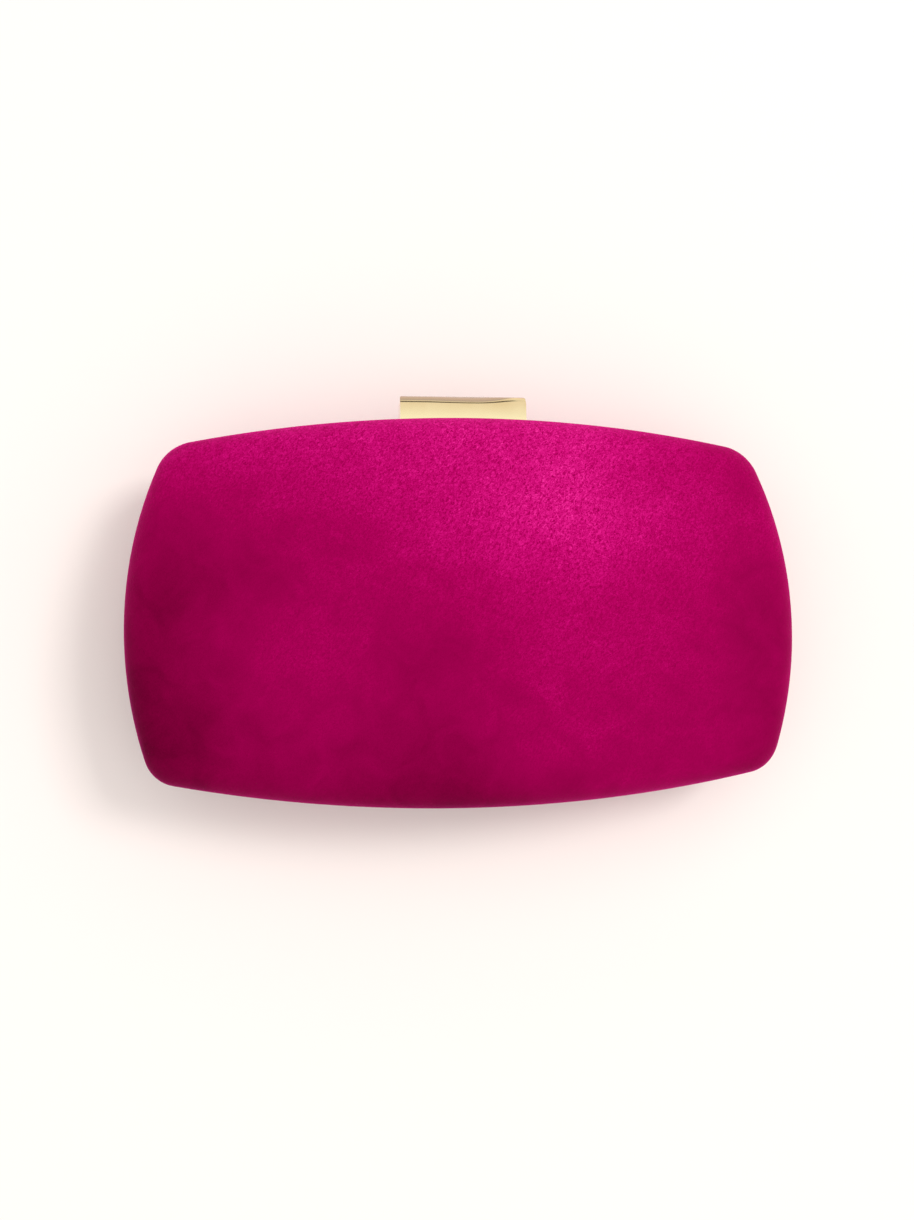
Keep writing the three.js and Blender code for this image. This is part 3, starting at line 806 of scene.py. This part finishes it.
def build_gusset(name, side):
    """A fan of satin pleats between the halves, folded flat as when the purse is shut."""
    columns = GUSSET_PLEATS * 2 * FOLD_STEPS
    points = []
    for i in range(GUSSET_ROWS + 1):
        share = i / GUSSET_ROWS
        y = GUSSET_Y[0] + (GUSSET_Y[1] - GUSSET_Y[0]) * share
        depth = GUSSET_DEPTHS[0] + (GUSSET_DEPTHS[1] - GUSSET_DEPTHS[0]) * share
        height = GUSSET_STACK * (GUSSET_LOW_SHARE + (1 - GUSSET_LOW_SHARE) * min(1.0, share * 2.5))
        for j in range(columns + 1):
            v = j / columns
            fold = folded(v, GUSSET_PLEATS)
            wobble = 0.5 * noise.noise(Vector((y / 9, v * GUSSET_PLEATS * PLEAT_VARIETY, side * 3.0)))
            x = edge_x(GUSSET_WALL, y) - depth * fold**0.8 + wobble * fold
            scallop = 1.6 * fold * share**3
            points.append((side * x, y - scallop, SEAM + (2 * v - 1) * height))
    pleated_cloth(name, points, columns)


def build_hinge_gusset():
    """A low pleated strip that hides the hinge from inside, from one end gusset round to the other."""
    columns = HINGE_GUSSET_PLEATS * 2 * FOLD_STEPS
    near = outline(HINGE_GUSSET_WALL)[:, 1] < HINGE_GUSSET_END
    walls = outline(HINGE_GUSSET_WALL)[near]
    creases = outline(HINGE_GUSSET_WALL + HINGE_GUSSET_FOLD)[near]
    points = []
    for wall, crease in zip(respaced(walls, HINGE_GUSSET_ROWS), respaced(creases, HINGE_GUSSET_ROWS)):
        for j in range(columns + 1):
            v = j / columns
            fold = folded(v, HINGE_GUSSET_PLEATS)
            place = Vector((wall[0] / 14, v * HINGE_GUSSET_PLEATS * PLEAT_VARIETY, 9.0))
            x, y = wall + (crease - wall) * fold * (0.85 + 0.12 * noise.noise(place))
            points.append((x, y, SEAM + (2 * v - 1) * HINGE_GUSSET_STACK))
    pleated_cloth("hinge_gusset", points, columns)


POCKET_X, POCKET_Y = 50.0, (-38.0, 14.0)
POCKET_COLUMNS, POCKET_ROWS, POCKET_THICKNESS = 72, 40, 0.35
POCKET_LIFT, POCKET_SLACK, POCKET_GAPE, POCKET_HEM = 0.65, 0.35, 0.9, 0.25
STITCH_INSET, STITCH_STEP, STITCH_LENGTH, STITCH_RADIUS = 1.6, 2.4, 1.7, 0.16


def over_lining(x, y, above):
    """A point above the back lining's face, in millimetres."""
    point = np.array([[x, y]])
    lining = LINING[1] * float(np.hypot(1, steepness(point)[0]))
    return x, y, SEAM - float(dome(point, FLAT_CUT)[0]) + lining + above


def build_pocket():
    """A flat slip pocket: a satin panel with a turned hem at its mouth, sewn down on three sides."""
    points = []
    for i in range(POCKET_ROWS + 1):
        v = i / POCKET_ROWS
        y = POCKET_Y[0] + (POCKET_Y[1] - POCKET_Y[0]) * v
        hem = POCKET_HEM if v > 0.9 else 0.0
        for j in range(POCKET_COLUMNS + 1):
            u = 2 * j / POCKET_COLUMNS - 1
            x = POCKET_X * u
            free = (1 - abs(u) ** 6) * min(1.0, 6 * v)
            gape = POCKET_GAPE * (1 - u * u) * v**3
            wrinkle = 0.35 * noise.noise(Vector((x / 16, y / 9, 4.0)))
            above = POCKET_LIFT + hem + free * (POCKET_SLACK + gape + wrinkle)
            points.append(over_lining(x, y, above))
    panel, _ = cloth("slip_pocket_panel", points, POCKET_COLUMNS, POCKET_THICKNESS)
    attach(panel, "back_half")
    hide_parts("slip_pocket")
    stitches = build_pocket_stitches()


def thread(start, end):
    """Rings of a small round-ended stitch between two points."""
    sides = 6
    start, end = Vector(start), Vector(end)
    along = (end - start).normalized()
    across = along.orthogonal().normalized()
    other = along.cross(across)
    angles = [2 * math.pi * k / sides for k in range(sides)]
    rings = []
    for t, size in ((0, 0.3), (0.15, 0.85), (0.5, 1.1), (0.85, 0.85), (1, 0.3)):
        centre = start.lerp(end, t)
        spokes = [across * math.cos(a) + other * math.sin(a) for a in angles]
        rings.append([centre + spoke * STITCH_RADIUS * size for spoke in spokes])
    return rings


def build_pocket_stitches():
    """Short separate stitches down both sides of the pocket and along its foot."""
    x0, y0, y1 = POCKET_X - STITCH_INSET, POCKET_Y[0] + STITCH_INSET, POCKET_Y[1] - STITCH_INSET
    spans = []
    for s in np.arange(y0, y1 - STITCH_LENGTH, STITCH_STEP):
        spans += [(over_lining(x, s, 0.95), over_lining(x, s + STITCH_LENGTH, 0.95)) for x in (-x0, x0)]
    for s in np.arange(-x0, x0 - STITCH_LENGTH, STITCH_STEP):
        spans.append((over_lining(s, y0, 1.05), over_lining(s + STITCH_LENGTH, y0, 1.05)))
    vertices, faces = [], []
    for start, end in spans:
        rings = thread(start, end)
        sides, base = len(rings[0]), len(vertices)
        last = base + (len(rings) - 1) * sides
        vertices += [tuple(p) for ring in rings for p in ring]
        for low in range(base, last, sides):
            for k in range(sides):
                following = (k + 1) % sides
                faces.append((low + k, low + following, low + sides + following, low + sides + k))
        faces.append(tuple(range(base + sides - 1, base - 1, -1)))
        faces.append(tuple(range(last, last + sides)))
    piece = make_object("slip_pocket_stitches", np.array(vertices) * MM, faces, SATIN)
    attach(piece, "back_half")
    return piece


# ---- Stage, light and camera ----

FLOOR_REACH = 3.0
KEY_PLACE, KEY_TARGET, KEY_SIZE = (2.55, 1.20, 3.35), (0, 0, 0.02), 1.3
KEY_POWER, KEY_COLOUR = 66.0, (1.0, 0.985, 0.96)
DOME_COLOUR, STRIP_COLOUR = (0.995, 0.98, 0.965, 1), (0.04, 0.03, 0.025, 1)


def build_stage():
    """A plain pale floor under the purse."""
    corners = [(-FLOOR_REACH, -FLOOR_REACH, 0), (FLOOR_REACH, -FLOOR_REACH, 0)]
    corners += [(FLOOR_REACH, FLOOR_REACH, 0), (-FLOOR_REACH, FLOOR_REACH, 0)]
    make_object("floor", corners, [(0, 1, 2, 3)], PAPER)


def build_dome():
    """A soft even dome of light with one short dark strip high behind the purse."""
    n = WorldNodes("studio")
    up = n.axis("Z")
    strip = n.math("MULTIPLY", n.ramp(up, 0.44, 0.52), n.ramp(up, 0.68, 0.60))
    strip = n.math("MULTIPLY", strip, n.ramp(n.axis("Y"), 0.25, 0.55))
    strip = n.math("MULTIPLY", strip, n.ramp(n.axis("X"), 0.145, 0.125))
    n.light(n.mix(strip, DOME_COLOUR, STRIP_COLOUR))


def build_key_light():
    """A soft square light from the upper right."""
    data = bpy.data.lights.new("key", "AREA")
    data.shape, data.size, data.size_y = "RECTANGLE", KEY_SIZE, KEY_SIZE
    data.energy, data.color = KEY_POWER, KEY_COLOUR
    lamp = bpy.data.objects.new("key", data)
    bpy.context.scene.collection.objects.link(lamp)
    lamp.location = KEY_PLACE
    lamp.rotation_mode = "QUATERNION"
    lamp.rotation_quaternion = (Vector(KEY_TARGET) - Vector(KEY_PLACE)).to_track_quat("-Z", "Y")


# The camera looks nearly straight down. Its angles are in radians, its distance, sensor and lens are in
# millimetres, and its shift is in shares of the picture's longer side.
CAMERA_YAW, CAMERA_PITCH, CAMERA_ROLL = 0.110, -0.105, 0.020
CAMERA_DISTANCE = 350.0
CAMERA_SENSOR, CAMERA_LENS = 36.0, 32.0577
CAMERA_SHIFT = (-0.006885, 0.002377)


def build_camera():
    data = bpy.data.cameras.new("camera")
    data.sensor_width, data.lens = CAMERA_SENSOR, CAMERA_LENS
    data.shift_x, data.shift_y = CAMERA_SHIFT
    data.clip_start, data.clip_end = 0.01, 20
    camera = bpy.data.objects.new("camera", data)
    bpy.context.scene.collection.objects.link(camera)
    turn = (
        Matrix.Rotation(CAMERA_ROLL, 4, "Z")
        @ Matrix.Rotation(CAMERA_PITCH, 4, "X")
        @ Matrix.Rotation(CAMERA_YAW, 4, "Y")
    ).inverted()
    target = Matrix.Translation((0, 0, SEAM * MM))
    camera.matrix_world = target @ turn @ Matrix.Translation((0, 0, CAMERA_DISTANCE * MM))
    bpy.context.scene.camera = camera


# ---- The whole purse ----

build_camera()
build_dome()
build_key_light()
build_stage()
build_half("back", -1, FLAT_CUT, 1)
build_half("front", 1, 0.0, 2)
build_frame("back", -1, 0)
build_frame("front", 1, 1)
build_clasp_bar()
dress_cad_nodes()
build_gusset("gusset_left", -1)
build_gusset("gusset_right", 1)
build_hinge_gusset()
build_pocket()

bpy.context.scene.view_settings.view_transform = "Standard"
